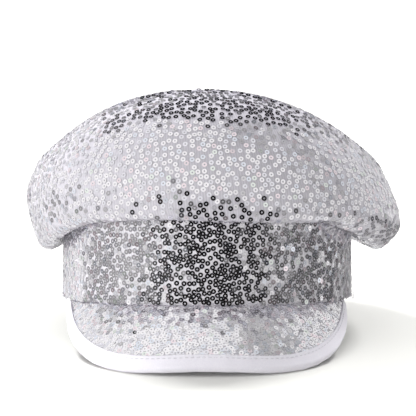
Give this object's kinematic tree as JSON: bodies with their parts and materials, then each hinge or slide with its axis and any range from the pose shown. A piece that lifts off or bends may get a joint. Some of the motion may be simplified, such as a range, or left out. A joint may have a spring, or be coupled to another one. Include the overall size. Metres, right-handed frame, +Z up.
{
  "type": "sequinned party cap",
  "caption": "Soft full-crowned captain-style party cap with a stiffened hatband, a bound front visor and a lined, foam-backed crown, standing tipped back on its visor and band.",
  "frame": {"origin": "on the surface that the cap stands on, below the middle of its overall box", "axes": "+Z up off the table, the visor and the front at -Y, the back at +Y, +X to the wearer's left; the cap is tipped back by 9 degrees, as it rests on its visor and on the back of its band"},
  "size_m": [0.23, 0.2684, 0.1497],
  "materials": {
    "sequin_fabric": "silver ring sequins sewn on pale grey knit",
    "sequins": "polished silver plastic film",
    "foam": "laminated foam sheet",
    "lining": "thin woven polyester",
    "stiffener": "flexible sheet plastic",
    "tape": "cotton tape",
    "sweatband": "folded twill tape",
    "board": "die-cut visor board",
    "underside": "white twill",
    "binding": "white coated synthetic leather, satin",
    "thread": "polyester sewing thread",
    "label": "satin ribbon, blank"
  },
  "bodies": {
    "root": {"crown_tip": "sequin_fabric", "crown_front": "sequin_fabric", "crown_back": "sequin_fabric", "tip_foam": "foam", "front_foam": "foam", "back_foam": "foam", "tip_lining": "lining", "side_lining": "lining", "hatband": "sequin_fabric", "band_stiffener": "stiffener", "stiffener_tape": "tape", "sweatband": "sweatband", "visor_cover": "sequin_fabric", "visor_board": "board", "visor_underside": "underside", "visor_binding": "binding", "binding_stitches": "thread", "hatband_stitches": "thread", "sweatband_stitches": "thread", "care_label": "label", "size_label": "label"}
  },
  "joints": []
}
